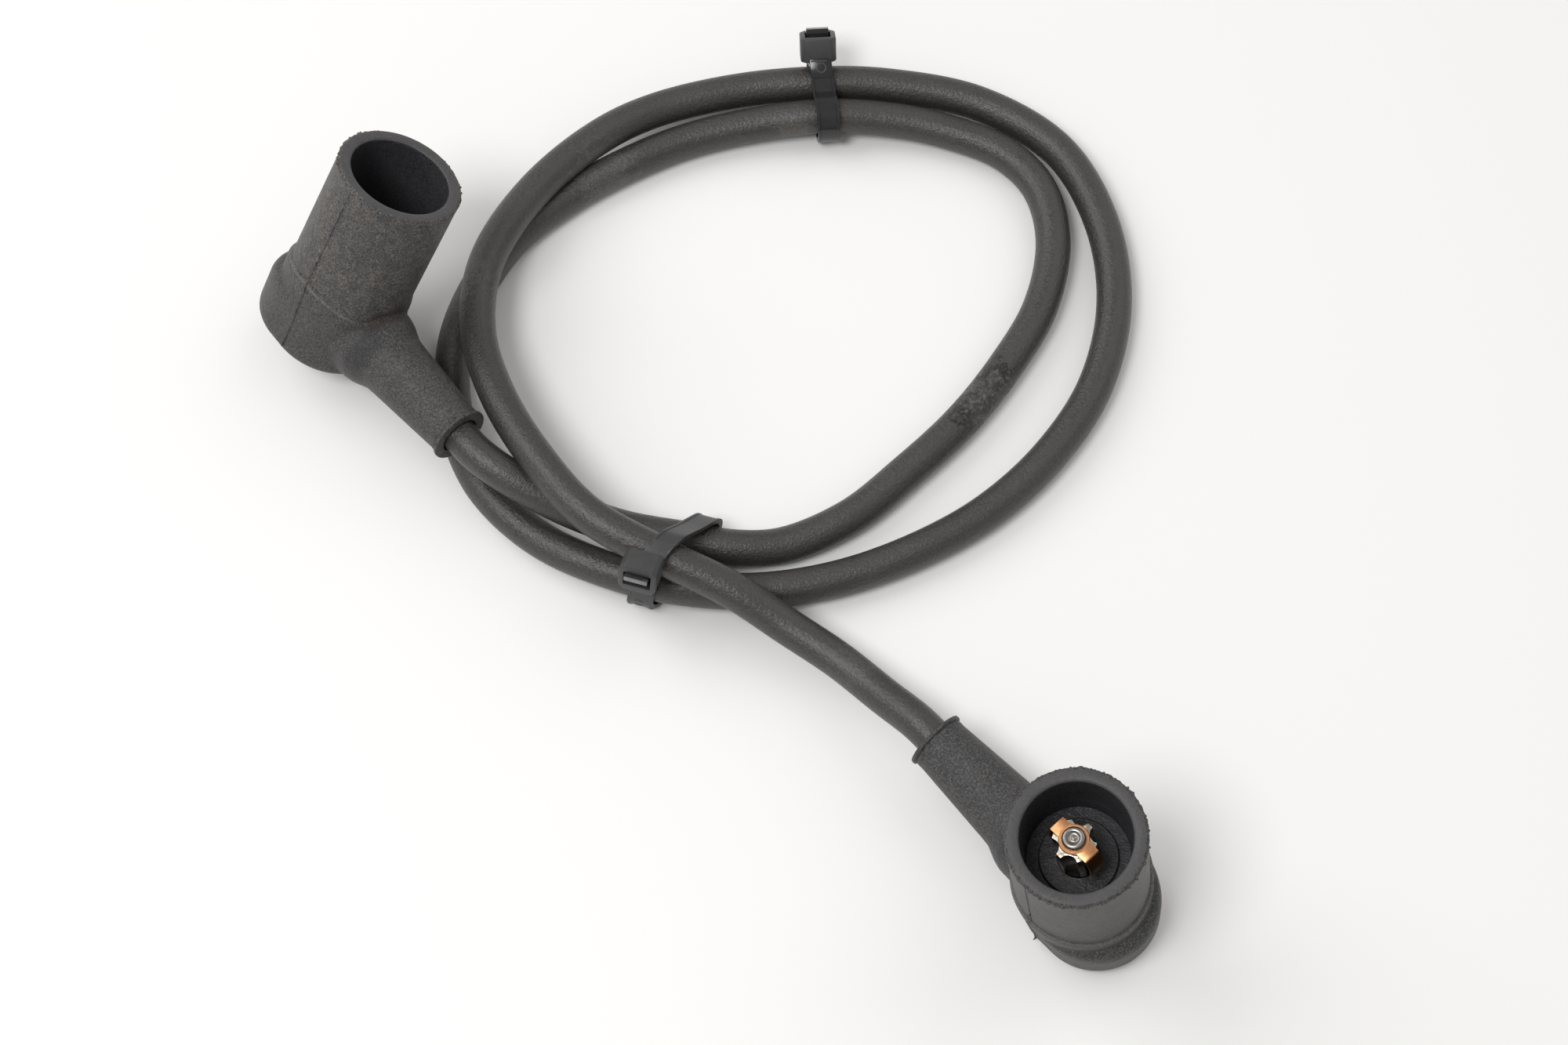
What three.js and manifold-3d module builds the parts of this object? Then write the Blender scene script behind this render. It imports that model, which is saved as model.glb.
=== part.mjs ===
// Ignition lead for a small engine: one high-tension cable, lying in two loose loops that are held by
// two nylon ties, with a moulded rubber elbow boot and a fluted snap contact on each end.
// Millimetres, +Z up. The lead lies on the plane z = 0, with the middle of the two boots over the origin.
import * as THREE from 'three';
import { mergeVertices } from 'three/addons/utils/BufferGeometryUtils.js';
import Module from 'manifold-3d';

const wasm = await Module();
wasm.setup();
const radians = THREE.MathUtils.degToRad;

// Cable
const cableDiameter = 7;
const cableSides = 12;
const cableSteps = 80;
const fitGap = 0.3;

// Boot: the crossing of its cup axis and its sleeve axis is the boot's own origin, +Z runs to the rim
const cupDiameter = 24;
const cupWall = 2.4;
const rimHeight = 35.3;
const rimRound = 0.5;
const boreStepDepth = 6.4;
const boreStep = 0.5;
const floorGroove = 0.8;
const floorPadDiameter = 13.4;
const heelTop = 9;
const heelBottom = -9;
const heelFillet = 2.6;
const heelProud = 0.25;
const heelDraft = 0.7;
const noseReach = 3.2;
const noseShoulder = 5.4;
const sleeveTilt = 3.5;
const sleeveLength = 37.8;
const sleeveMouthDiameter = 10.7;
const sleeveRootDiameter = 13.4;
const collarDiameter = 16.8;
const collarLength = 4.6;
const lipDiameter = 11.7;
const lipLength = 1.2;
const lipGroove = 0.35;
const flashProud = 0.22;
const flashThickness = 0.4;

// Crimp terminal inside the boot
const crimpWall = 0.6;
const crimpLength = 9;
const crimpStart = 8.6;
const stemDiameter = 3.2;
const footDiameter = 7;
const footThickness = 0.9;

// Contact in the cup
const contactHeight = 11;
const earCount = 6;
const earCircle = 7.7;
const fluteDepth = 1.15;
const earWidth = 1.1;
const contactLean = 4;
const stripWidth = 3.1;
const stripThickness = 0.45;
const stripBow = 0.6;
const stripLeg = 7.6;
const rivetHeadDiameter = 4.1;
const rivetHeadHeight = 0.7;
const rivetShankDiameter = 2;
const rivetDimple = 2.2;

// Cable ties
const strapWidth = 4.5;
const strapThickness = 1.1;
const strapSlack = 0.75;
const headWidth = 7.2;
const headLength = 6.4;
const headDepth = 5;
const headChamfer = 1;
const slotHeight = 3.4;
const slotClearance = 0.35;
const pawlGap = 0.35;
const tailStub = 1.1;

// Where the boots lie: place of the boot's origin, heading of its sleeve, fall of the sleeve, sideways lean,
// and how deep the cup is. One boot's contact stands close under the rim, the other's is set deep.
const bootPlaces = [
  { end: 'a', at: [-69.2, 54, 12.8], heading: -50.5, fall: 2.6, lean: -32, boreDepth: 24.2 },
  { end: 'b', at: [70, -61.8, 10.15], heading: 132.5, fall: 2.6, lean: -7.5, boreDepth: 13.6 },
];

// The cable's centre line, from inside boot a to inside boot b
const route = [
  [-63.5, 47.5, 12.9], [-53.3, 36, 13], [-44.2, 25.6, 13], [-41.3, 22.3, 13], [-36.8, 18.8, 12.5],
  [-29, 14.8, 10], [-21, 11.8, 7.4], [-13, 9.5, 6], [-1.5, 7.5, 5.5], [8, 6.2, 4.6], [17, 7.2, 3.6],
  [29.5, 13, 3.6], [40.5, 22.5, 3.6], [51, 33, 3.6], [60, 45, 3.6], [67.5, 58.5, 3.6], [70.5, 73.5, 3.6],
  [68, 85.5, 3.6], [61, 93.5, 3.6], [48.5, 98.8, 3.9], [37.5, 100.8, 4.6], [25, 101, 5.4], [9, 99.3, 4.2],
  [-3.5, 96, 3.6], [-15, 90.5, 3.6], [-26, 83.5, 3.6], [-36.5, 74, 3.6], [-43, 63.5, 3.6], [-46.5, 54, 3.6],
  [-47.6, 45.5, 3.6], [-47, 37, 3.6], [-44.8, 28, 3.6], [-39.5, 18, 3.6], [-29, 8.2, 3.6], [-14.5, 1, 4.8],
  [-3.5, -2, 5.4], [11, -2.5, 4.2], [26, 0, 3.6], [41, 5.5, 3.6], [55.5, 14, 3.6], [68, 26, 3.6],
  [77.5, 41, 3.6], [82, 59.5, 3.6], [80, 78.5, 3.6], [72, 94.5, 3.6], [56.5, 105, 3.9], [38.5, 108.6, 4.8],
  [25, 108.8, 5.4], [8, 107.2, 5.2], [-9, 102, 6], [-20, 94.6, 7.9], [-32.5, 81, 9.8], [-41, 64.5, 11],
  [-42, 49, 11.8], [-37.5, 34.2, 13.6], [-29, 19.5, 15.2], [-19.5, 8.5, 15.2], [-5, 0.5, 13.4],
  [7.5, -5.2, 11], [17.5, -11, 7.8], [27, -17.5, 7.2], [35.5, -25.5, 9], [41.2, -30.9, 10.7],
  [44.2, -34.1, 10.8], [53.7, -44.2, 10.6], [64.1, -55.5, 10.2],
];

// Where each tie sits on the bundle: its middle, the heading of the strands, how far the loop slews along
// them, the strands it holds as [across, up], and in the same plane the head's middle and slot direction,
// the strand that it sits on, and where round that strand its root and tail meet the loop
const tiePlaces = [
  {
    name: 'cable_tie_top', at: [25, 104.9], heading: 3, slew: -0.08,
    strands: [[-3.9, 5.4], [3.9, 5.4]],
    head: { middle: [8.8, 11.5], slot: 52, on: 1, root: 115, tail: 20 },
  },
  {
    name: 'cable_tie_bottom', at: [-4, 2.5], heading: -16, slew: 0.4,
    strands: [[-4.2, 5.4], [5.7, 5.4], [-2.1, 13.4]],
    head: { middle: [-8, 18], slot: 161, on: 2, root: 166, tail: 86 },
  },
];

const rubber = new THREE.MeshStandardMaterial({ color: 0x2d2d2f, roughness: 0.85 });
const jacket = new THREE.MeshStandardMaterial({ color: 0x2a2826, roughness: 0.6 });
const nylon = new THREE.MeshStandardMaterial({ color: 0x1c1c1d, roughness: 0.4 });
const tinned = new THREE.MeshStandardMaterial({ color: 0xb9b4aa, roughness: 0.3, metalness: 1 });
const copper = new THREE.MeshStandardMaterial({ color: 0xb8713f, roughness: 0.35, metalness: 1 });
const brass = new THREE.MeshStandardMaterial({ color: 0xb08d4a, roughness: 0.4, metalness: 1 });

// A closed mesh with its vertices merged, as a solid that can be joined and cut
function solid(geometry) {
  const bare = geometry.clone();
  bare.deleteAttribute('normal');
  bare.deleteAttribute('uv');
  const merged = mergeVertices(bare, 1e-4);
  const vertProperties = new Float32Array(merged.attributes.position.array);
  const triVerts = new Uint32Array(merged.index.array);
  return new wasm.Manifold(new wasm.Mesh({ numProp: 3, vertProperties, triVerts }));
}

// The solid back as a three.js geometry
function geometryOf(body) {
  const mesh = body.getMesh();
  const geometry = new THREE.BufferGeometry();
  geometry.setAttribute('position', new THREE.BufferAttribute(mesh.vertProperties, 3));
  geometry.setIndex(new THREE.BufferAttribute(mesh.triVerts, 1));
  geometry.computeVertexNormals();
  return geometry;
}

// A turned form about +Z from its profile of [radius, height] pairs, bottom to top
function turned(profile, segments) {
  const points = profile.map(([radius, height]) => new THREE.Vector2(radius, height));
  return new THREE.LatheGeometry(points, segments).rotateX(Math.PI / 2);
}

// The same, laid along the sleeve's axis
function alongSleeve(profile, segments) {
  return turned(profile, segments).rotateY(Math.PI / 2).rotateY(-radians(sleeveTilt));
}

// A closed skin through rings of equal count, from the lowest ring to the highest
function loft(rings) {
  const count = rings[0].length;
  const positions = rings.flat().flatMap((point) => point.toArray());
  const index = [];
  for (let level = 0; level + 1 < rings.length; level += 1) {
    for (let i = 0; i < count; i += 1) {
      const next = (i + 1) % count;
      const low = level * count;
      const high = low + count;
      index.push(low + i, low + next, high + next, low + i, high + next, high + i);
    }
  }
  const last = (rings.length - 1) * count;
  for (let i = 1; i + 1 < count; i += 1) {
    index.push(0, i + 1, i, last, last + i, last + i + 1);
  }
  const geometry = new THREE.BufferGeometry();
  geometry.setAttribute('position', new THREE.Float32BufferAttribute(positions, 3));
  geometry.setIndex(index);
  return geometry;
}

const cupRadius = cupDiameter / 2;
const boreRadius = cupRadius - cupWall;
const cableBoreRadius = cableDiameter / 2 + fitGap;
const chamberRadius = cableBoreRadius + crimpWall + fitGap;

// One level of the heel: a half circle under the cup and another one pushed out into the nose
function heelRing(height, radius, reach) {
  const ring = [];
  const steps = 14;
  for (const [start, middle] of [[-90, 0], [90, -reach]]) {
    for (let i = 0; i <= steps; i += 1) {
      const angle = radians(start + (180 * i) / steps);
      ring.push(new THREE.Vector3(middle + radius * Math.cos(angle), radius * Math.sin(angle), height));
    }
  }
  return ring;
}

function heel() {
  const rings = [];
  const topRadius = cupRadius + heelProud;
  const radiusAt = (height) => topRadius - heelDraft * ((heelTop - height) / (heelTop - heelBottom));
  const flatReach = 0.3;
  for (const angle of [0, 30, 60, 90]) {
    const height = heelBottom + heelFillet * (1 - Math.sin(radians(angle)));
    rings.unshift(heelRing(height, radiusAt(height) - heelFillet * (1 - Math.cos(radians(angle))), noseReach));
  }
  for (const angle of [0, 22, 45, 68, 90]) {
    const height = noseShoulder * Math.sin(radians(angle));
    const reach = flatReach + (noseReach - flatReach) * Math.cos(radians(angle));
    rings.push(heelRing(height, radiusAt(height), reach));
  }
  rings.push(heelRing(heelTop - heelProud * 2, radiusAt(heelTop), flatReach));
  rings.push(heelRing(heelTop, cupRadius - heelProud, flatReach));
  return loft(rings);
}

function cup() {
  return turned([
    [0, heelBottom + heelFillet], [cupRadius - heelDraft, heelBottom + heelFillet], [cupRadius, heelTop],
    [cupRadius, rimHeight - rimRound], [cupRadius - rimRound * 0.3, rimHeight - rimRound * 0.3],
    [cupRadius - rimRound, rimHeight], [0, rimHeight],
  ], 56);
}

function sleeve() {
  const collarStart = cupRadius;
  const lipStart = sleeveLength - lipLength;
  return alongSleeve([
    [0, 0], [collarDiameter / 2, 0], [collarDiameter / 2, collarStart], [collarDiameter / 2 - 0.3, collarStart + 1],
    [sleeveRootDiameter / 2 + 0.3, collarStart + collarLength - 0.6],
    [sleeveRootDiameter / 2, collarStart + collarLength + 0.6],
    [sleeveMouthDiameter / 2, lipStart - 0.9], [sleeveMouthDiameter / 2 - lipGroove, lipStart - 0.3],
    [lipDiameter / 2, lipStart + 0.1], [lipDiameter / 2, sleeveLength - 0.3],
    [lipDiameter / 2 - 0.3, sleeveLength], [0, sleeveLength],
  ], 40);
}

// The thin raised line that the two halves of the mould leave on both sides of the cup and heel
function flash() {
  const halfWidth = cupRadius + flashProud;
  const heelHalf = cupRadius + heelProud + flashProud;
  const outline = new THREE.Shape();
  outline.moveTo(0, heelBottom + heelFillet);
  outline.lineTo(heelHalf - heelDraft, heelBottom + heelFillet);
  outline.lineTo(heelHalf, heelTop - 0.4);
  outline.lineTo(halfWidth, heelTop);
  outline.lineTo(halfWidth, rimHeight - rimRound);
  outline.lineTo(0, rimHeight - rimRound);
  const plate = new THREE.ExtrudeGeometry(outline, { depth: flashThickness, bevelEnabled: false });
  plate.translate(0, 0, -flashThickness / 2).rotateX(Math.PI / 2).rotateZ(Math.PI / 2);
  const other = plate.clone().rotateZ(Math.PI);
  return solid(plate).add(solid(other));
}

// The cup's bore, stepped part way down, with a groove round the pad that the contact stands on
function boreCutter(floorHeight) {
  const lowRadius = boreRadius - boreStep;
  const padRadius = floorPadDiameter / 2;
  const stepHeight = rimHeight - boreStepDepth;
  return turned([
    [0, floorHeight], [padRadius, floorHeight], [padRadius, floorHeight - floorGroove],
    [lowRadius, floorHeight - floorGroove], [lowRadius, stepHeight - boreStep], [boreRadius, stepHeight],
    [boreRadius, rimHeight - rimRound], [boreRadius + rimRound, rimHeight], [boreRadius + rimRound, rimHeight + 1],
    [0, rimHeight + 1],
  ], 56);
}

// Room for the terminal's stem and foot
function stemHole(floorHeight) {
  const stemRadius = stemDiameter / 2 + fitGap;
  const recess = footDiameter / 2 + fitGap;
  const recessFloor = floorHeight - footThickness - fitGap;
  return turned([
    [0, 0], [stemRadius, 0], [stemRadius, recessFloor], [recess, recessFloor], [recess, floorHeight + 1],
    [0, floorHeight + 1],
  ], 32);
}

// Room for the terminal's neck and barrel, then the bore that grips the cable
function cableBore() {
  const neckRadius = stemDiameter / 2 + fitGap;
  const chamberStart = crimpStart - crimpWall - 2 * fitGap;
  const chamberEnd = crimpStart + crimpLength + fitGap;
  return alongSleeve([
    [0, -neckRadius], [neckRadius, -neckRadius], [neckRadius, chamberStart], [chamberRadius, chamberStart],
    [chamberRadius, chamberEnd], [cableBoreRadius, chamberEnd + crimpWall], [cableBoreRadius, sleeveLength + 1],
    [0, sleeveLength + 1],
  ], 28);
}

function bootGeometry(floorHeight) {
  const outside = solid(cup()).add(solid(heel())).add(solid(sleeve())).add(flash());
  const inside = solid(boreCutter(floorHeight)).add(solid(stemHole(floorHeight))).add(solid(cableBore()));
  return geometryOf(outside.subtract(inside));
}

// Crimp terminal: a barrel that grips the end of the cable, and a round stem up to a foot under the contact
function terminalGeometry(floorHeight) {
  const barrelRadius = cableBoreRadius + crimpWall;
  const stemRadius = stemDiameter / 2;
  const barrelBack = crimpStart - crimpWall - fitGap;
  const hollowBack = crimpStart - fitGap;
  const barrel = solid(alongSleeve([
    [0, -stemRadius], [stemRadius, -stemRadius], [stemRadius, barrelBack], [barrelRadius, barrelBack],
    [barrelRadius, crimpStart + crimpLength], [0, crimpStart + crimpLength],
  ], 28));
  const hollow = solid(alongSleeve([
    [0, hollowBack], [cableBoreRadius, hollowBack], [cableBoreRadius, crimpStart + crimpLength + 1],
    [0, crimpStart + crimpLength + 1],
  ], 28));
  const footBase = floorHeight - footThickness;
  const stem = solid(turned([
    [0, 0], [stemRadius, 0], [stemRadius, footBase], [footDiameter / 2, footBase],
    [footDiameter / 2, floorHeight], [0, floorHeight],
  ], 28));
  return geometryOf(barrel.add(stem).subtract(hollow));
}

// The contact's heights are counted from the floor that it stands on
const contactBase = fitGap + (earCircle / 2) * Math.sin(radians(contactLean));
const starTop = contactHeight - rivetHeadHeight - stripThickness - 2 * fitGap;
const starHeight = starTop - contactBase;
const rivetHoleRadius = rivetShankDiameter / 2 + fitGap;

// Contact body: a six-eared star with round flutes between its ears, standing on the terminal's foot
function contactGeometry() {
  const tipRadius = earCircle / 2;
  const rootRadius = tipRadius - fluteDepth;
  const halfEar = earWidth / 2 / tipRadius;
  const pitch = (2 * Math.PI) / earCount;
  const polar = (radius, angle) => new THREE.Vector2(radius * Math.cos(angle), radius * Math.sin(angle));
  const outline = [];
  const fluteSteps = 6;
  for (let ear = 0; ear < earCount; ear += 1) {
    const middle = pitch * (ear + 0.5);
    outline.push(polar(tipRadius, middle - halfEar), polar(tipRadius, middle + halfEar));
    for (let i = 1; i < fluteSteps; i += 1) {
      const share = i / fluteSteps;
      const radius = tipRadius - (tipRadius - rootRadius) * Math.sqrt(Math.sin(Math.PI * share));
      outline.push(polar(radius, middle + halfEar + (pitch - 2 * halfEar) * share));
    }
  }
  const star = new THREE.ExtrudeGeometry(new THREE.Shape(outline), {
    depth: starHeight, bevelEnabled: false,
  });
  const hole = new THREE.CylinderGeometry(rivetHoleRadius, rivetHoleRadius, starHeight, 20)
    .rotateX(Math.PI / 2).translate(0, 0, starHeight);
  return geometryOf(solid(star).subtract(solid(hole)).translate([0, 0, contactBase]));
}

// The copper strip: over the top of the star, then down two sides with a slight outward bow
function stripGeometry() {
  const inner = earCircle / 2 + fitGap;
  const low = starTop + fitGap;
  const high = low + stripThickness;
  const legEnd = low - stripLeg;
  const band = new THREE.Shape();
  const corner = 0.6;
  const outer = inner + stripThickness;
  band.moveTo(-inner, low - corner);
  band.quadraticCurveTo(-inner, low, -inner + corner, low);
  band.lineTo(inner - corner, low);
  band.quadraticCurveTo(inner, low, inner, low - corner);
  band.quadraticCurveTo(inner + 2 * stripBow, (low + legEnd) / 2, inner, legEnd);
  band.lineTo(outer, legEnd);
  band.quadraticCurveTo(outer + 2 * stripBow, (low + legEnd) / 2, outer, low - corner);
  band.quadraticCurveTo(outer, high, inner - corner, high);
  band.lineTo(corner - inner, high);
  band.quadraticCurveTo(-outer, high, -outer, low - corner);
  band.quadraticCurveTo(-outer - 2 * stripBow, (low + legEnd) / 2, -outer, legEnd);
  band.lineTo(-inner, legEnd);
  band.quadraticCurveTo(-inner - 2 * stripBow, (low + legEnd) / 2, -inner, low - corner);
  const strip = new THREE.ExtrudeGeometry(band, { depth: stripWidth, bevelEnabled: false, curveSegments: 8 });
  strip.translate(0, 0, -stripWidth / 2).rotateX(Math.PI / 2);
  const hole = new THREE.CylinderGeometry(rivetHoleRadius, rivetHoleRadius, 4 * stripThickness, 20)
    .rotateX(Math.PI / 2).translate(0, 0, (low + high) / 2);
  return geometryOf(solid(strip).subtract(solid(hole)));
}

// The eyelet rivet: a shank through strip and star, and a rolled head with a dimple in the middle
function rivetGeometry() {
  const headRadius = rivetHeadDiameter / 2;
  const shankRadius = rivetShankDiameter / 2;
  const headBase = contactHeight - rivetHeadHeight;
  const shankEnd = starTop - starHeight / 2 + fitGap;
  const dimpleRadius = rivetDimple / 2;
  return turned([
    [0, shankEnd], [shankRadius, shankEnd], [shankRadius, headBase], [headRadius, headBase],
    [headRadius, headBase + 0.3], [headRadius - 0.25, contactHeight - 0.08], [headRadius - 0.5, contactHeight],
    [dimpleRadius + 0.15, contactHeight - 0.05], [dimpleRadius, contactHeight - 0.2], [dimpleRadius * 0.6, contactHeight - 0.45],
    [0.3, contactHeight - 0.42], [0, contactHeight - 0.35],
  ], 24);
}

// The rounded outline that a strap takes when it is pulled tight round equal cables
function tightOutline(ShapeOrPath, centres, radius) {
  const middle = centres.reduce((sum, [x, y]) => [sum[0] + x / centres.length, sum[1] + y / centres.length], [0, 0]);
  const around = centres.toSorted((p, q) => (
    Math.atan2(p[1] - middle[1], p[0] - middle[0]) - Math.atan2(q[1] - middle[1], q[0] - middle[0])
  ));
  const outline = new ShapeOrPath();
  around.forEach(([x, y], i) => {
    const before = around[(i + around.length - 1) % around.length];
    const after = around[(i + 1) % around.length];
    const start = Math.atan2(y - before[1], x - before[0]) - Math.PI / 2;
    let end = Math.atan2(after[1] - y, after[0] - x) - Math.PI / 2;
    while (end < start) end += 2 * Math.PI;
    outline.absarc(x, y, radius, start, end, false);
  });
  return outline;
}

// One-piece nylon tie: strap loop, head with its slot and pawl, and the cut tail that stands out of the slot.
// Drawn across the strands, x to the far side and y up, and slewed along them before it stands on the table.
function tieGeometry({ slew, strands, head }) {
  const inner = cableDiameter / 2 + strapSlack;
  const loop = tightOutline(THREE.Shape, strands, inner + strapThickness);
  loop.holes.push(tightOutline(THREE.Path, strands, inner));
  const strap = new THREE.ExtrudeGeometry(loop, { depth: strapWidth, bevelEnabled: false, curveSegments: 10 });
  const slewed = new THREE.Matrix4().set(1, 0, 0, 0, 0, 1, 0, 0, slew, 0, 1, 0, 0, 0, 0, 1);
  strap.translate(0, 0, -strapWidth / 2).applyMatrix4(slewed);
  const link = ([fromX, fromY], [toX, toY]) => {
    const length = Math.hypot(toX - fromX, toY - fromY) + strapThickness / 2;
    return solid(new THREE.BoxGeometry(length, strapThickness, strapWidth)
      .translate(length / 2, 0, 0)
      .rotateZ(Math.atan2(toY - fromY, toX - fromX))
      .translate(fromX, fromY, 0)
      .applyMatrix4(slewed));
  };
  const place = new THREE.Matrix4()
    .makeTranslation(head.middle[0], head.middle[1], slew * head.middle[0])
    .multiply(new THREE.Matrix4().makeRotationZ(radians(head.slot)));
  const section = new THREE.Shape();
  const halfDepth = headDepth / 2;
  const halfLength = headLength / 2;
  const halfWidth = headWidth / 2;
  section.moveTo(halfLength - headChamfer, -halfWidth);
  section.lineTo(halfLength, headChamfer - halfWidth);
  section.lineTo(halfLength, halfWidth - headChamfer);
  section.lineTo(halfLength - headChamfer, halfWidth);
  section.lineTo(headChamfer - halfLength, halfWidth);
  section.lineTo(-halfLength, halfWidth - headChamfer);
  section.lineTo(-halfLength, headChamfer - halfWidth);
  section.lineTo(headChamfer - halfLength, -halfWidth);
  const block = new THREE.ExtrudeGeometry(section, {
    depth: headDepth - headChamfer, bevelSize: headChamfer / 2, bevelThickness: headChamfer / 2,
    bevelOffset: -headChamfer / 2, bevelSegments: 2,
  });
  block.translate(0, 0, headChamfer / 2 - halfDepth).rotateX(Math.PI / 2).rotateZ(Math.PI / 2);
  const slotTop = -slotHeight / 2;
  const slot = new THREE.BoxGeometry(headDepth + 1, slotHeight, strapWidth + 2 * slotClearance);
  const tailMiddle = slotTop + strapThickness / 2 + slotClearance / 2;
  const tail = new THREE.BoxGeometry(headDepth + tailStub + 1, strapThickness, strapWidth)
    .translate((tailStub - 1) / 2, tailMiddle, 0);
  const pawlTop = tailMiddle + strapThickness / 2 + pawlGap;
  const wedge = new THREE.Shape();
  wedge.moveTo(-halfDepth + 0.6, -slotTop + 0.2);
  wedge.lineTo(-halfDepth + 0.6, -slotTop - 0.5);
  wedge.lineTo(halfDepth - 2.2, pawlTop);
  wedge.lineTo(halfDepth - 0.7, pawlTop);
  wedge.lineTo(halfDepth - 0.7, pawlTop + 0.8);
  wedge.lineTo(-halfDepth + 1.8, -slotTop + 0.2);
  const pawl = new THREE.ExtrudeGeometry(wedge, { depth: strapWidth * 0.7, bevelEnabled: false });
  pawl.translate(0, 0, -strapWidth * 0.35);
  const [headSolid, slotSolid, tailSolid, pawlSolid] = [block, slot, tail, pawl]
    .map((geometry) => solid(geometry.applyMatrix4(place)));
  const onLoop = (angle) => strands[head.on].map((middle, axis) => (
    middle + (inner + strapThickness / 2) * (axis ? Math.sin(radians(angle)) : Math.cos(radians(angle)))
  ));
  const onHead = (depth, length) => new THREE.Vector3(depth, length, 0).applyMatrix4(place).toArray();
  const root = link(onHead(strapThickness / 2 - halfDepth, halfLength - 0.3), onLoop(head.root));
  const entry = link(onHead(-halfDepth - 0.6, tailMiddle), onLoop(head.tail));
  const keepOut = strands.map(([x, y]) => solid(
    new THREE.CylinderGeometry(inner, inner, 4 * headWidth, 32).rotateX(Math.PI / 2).translate(x, y, 0),
  ));
  const body = headSolid.add(solid(strap)).add(root).subtract(slotSolid).add(entry).add(tailSolid).add(pawlSolid);
  return geometryOf(keepOut.reduce((rest, cut) => rest.subtract(cut), body).rotate([90, 0, 90]));
}

// The cable's plain tube: a twelve-sided section carried along the route
function cableGeometry() {
  const path = new THREE.CatmullRomCurve3(route.map((point) => new THREE.Vector3(...point)), false, 'centripetal');
  const section = new THREE.Shape();
  for (let i = 0; i < cableSides; i += 1) {
    const angle = (2 * Math.PI * i) / cableSides;
    const x = (cableDiameter / 2) * Math.cos(angle);
    const y = (cableDiameter / 2) * Math.sin(angle);
    if (i === 0) section.moveTo(x, y);
    else section.lineTo(x, y);
  }
  const tube = new THREE.ExtrudeGeometry(section, { steps: cableSteps, extrudePath: path, bevelEnabled: false });
  return geometryOf(solid(tube));
}

function piece(name, geometry, material) {
  const mesh = new THREE.Mesh(geometry, material);
  mesh.name = name;
  return mesh;
}

const lead = new THREE.Group();
for (const { end, at, heading, fall, lean, boreDepth } of bootPlaces) {
  const floorHeight = rimHeight - boreDepth;
  const boot = new THREE.Group();
  boot.position.set(...at);
  boot.rotation.set(radians(lean), radians(fall), radians(heading), 'ZYX');
  boot.add(piece(`boot_${end}`, bootGeometry(floorHeight), rubber));
  boot.add(piece(`crimp_terminal_${end}`, terminalGeometry(floorHeight), brass));
  const contact = new THREE.Group();
  contact.position.set(0, 0, floorHeight);
  contact.rotation.y = radians(contactLean);
  contact.add(piece(`contact_body_${end}`, contactGeometry(), tinned));
  contact.add(piece(`contact_strip_${end}`, stripGeometry(), copper));
  contact.add(piece(`contact_rivet_${end}`, rivetGeometry(), tinned));
  boot.add(contact);
  lead.add(boot);
}
lead.add(piece('ignition_cable', cableGeometry(), jacket));
for (const place of tiePlaces) {
  const tie = piece(place.name, tieGeometry(place), nylon);
  tie.position.set(place.at[0], place.at[1], 0);
  tie.rotation.z = radians(place.heading);
  lead.add(tie);
}

export default lead;
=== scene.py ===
import math
import random

import bmesh
import bpy
from mathutils import Matrix, Vector


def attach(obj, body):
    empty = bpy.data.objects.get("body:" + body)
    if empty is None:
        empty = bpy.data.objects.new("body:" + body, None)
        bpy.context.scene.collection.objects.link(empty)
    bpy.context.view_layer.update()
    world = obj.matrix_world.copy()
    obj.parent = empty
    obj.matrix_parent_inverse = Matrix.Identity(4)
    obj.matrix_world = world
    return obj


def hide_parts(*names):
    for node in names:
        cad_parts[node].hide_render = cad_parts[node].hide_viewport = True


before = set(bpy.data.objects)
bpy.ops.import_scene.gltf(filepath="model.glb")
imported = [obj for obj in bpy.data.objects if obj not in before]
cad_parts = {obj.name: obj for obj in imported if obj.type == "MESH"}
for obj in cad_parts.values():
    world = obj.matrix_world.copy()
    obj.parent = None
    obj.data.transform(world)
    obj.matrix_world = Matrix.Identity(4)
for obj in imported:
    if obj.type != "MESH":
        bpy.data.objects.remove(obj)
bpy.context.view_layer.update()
mm = 0.001

# The table: a white sheet seen steeply from above. One big soft lamp stands beyond the picture's top
# left corner, two weaker ones fill in from the right and from the front, with white walls all round.
camera_data = bpy.data.cameras.new("camera")
camera_data.sensor_fit = "HORIZONTAL"
camera_data.sensor_width = 36
camera_data.lens = 65.83
camera_data.clip_start = 0.01
camera = bpy.data.objects.new("camera", camera_data)
camera.location = (0.017, -0.2098, 0.5015)
camera.rotation_euler = (math.radians(24), 0, 0)
bpy.context.scene.collection.objects.link(camera)
bpy.context.scene.camera = camera


def soft_lamp(name, place, size, power):
    """A round soft lamp that points at the middle of the lead."""
    data = bpy.data.lights.new(name, "AREA")
    data.shape = "DISK"
    data.size = size
    data.energy = power
    lamp = bpy.data.objects.new(name, data)
    lamp.location = place
    lead_middle = Vector((0, 0.02, 0))
    lamp.rotation_euler = (lead_middle - Vector(place)).to_track_quat("-Z", "Y").to_euler()
    bpy.context.scene.collection.objects.link(lamp)


soft_lamp("left_softbox", (-0.8, 0.45, 0.85), size=1.1, power=5.6)
soft_lamp("right_softbox", (0.72, 0.5, 0.85), size=1.1, power=2.2)
soft_lamp("top_softbox", (-0.34, -0.3, 0.98), size=0.42, power=5.2)

walls = bpy.data.worlds.new("white_walls")
walls.use_nodes = True
walls.node_tree.nodes["Background"].inputs["Color"].default_value = (1, 0.995, 0.985, 1)
walls.node_tree.nodes["Background"].inputs["Strength"].default_value = 0.46
bpy.context.scene.world = walls
bpy.context.scene.view_settings.view_transform = "Standard"


def place_object(name, mesh):
    made = bpy.data.objects.new(name, mesh)
    bpy.context.scene.collection.objects.link(made)
    return made


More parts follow.
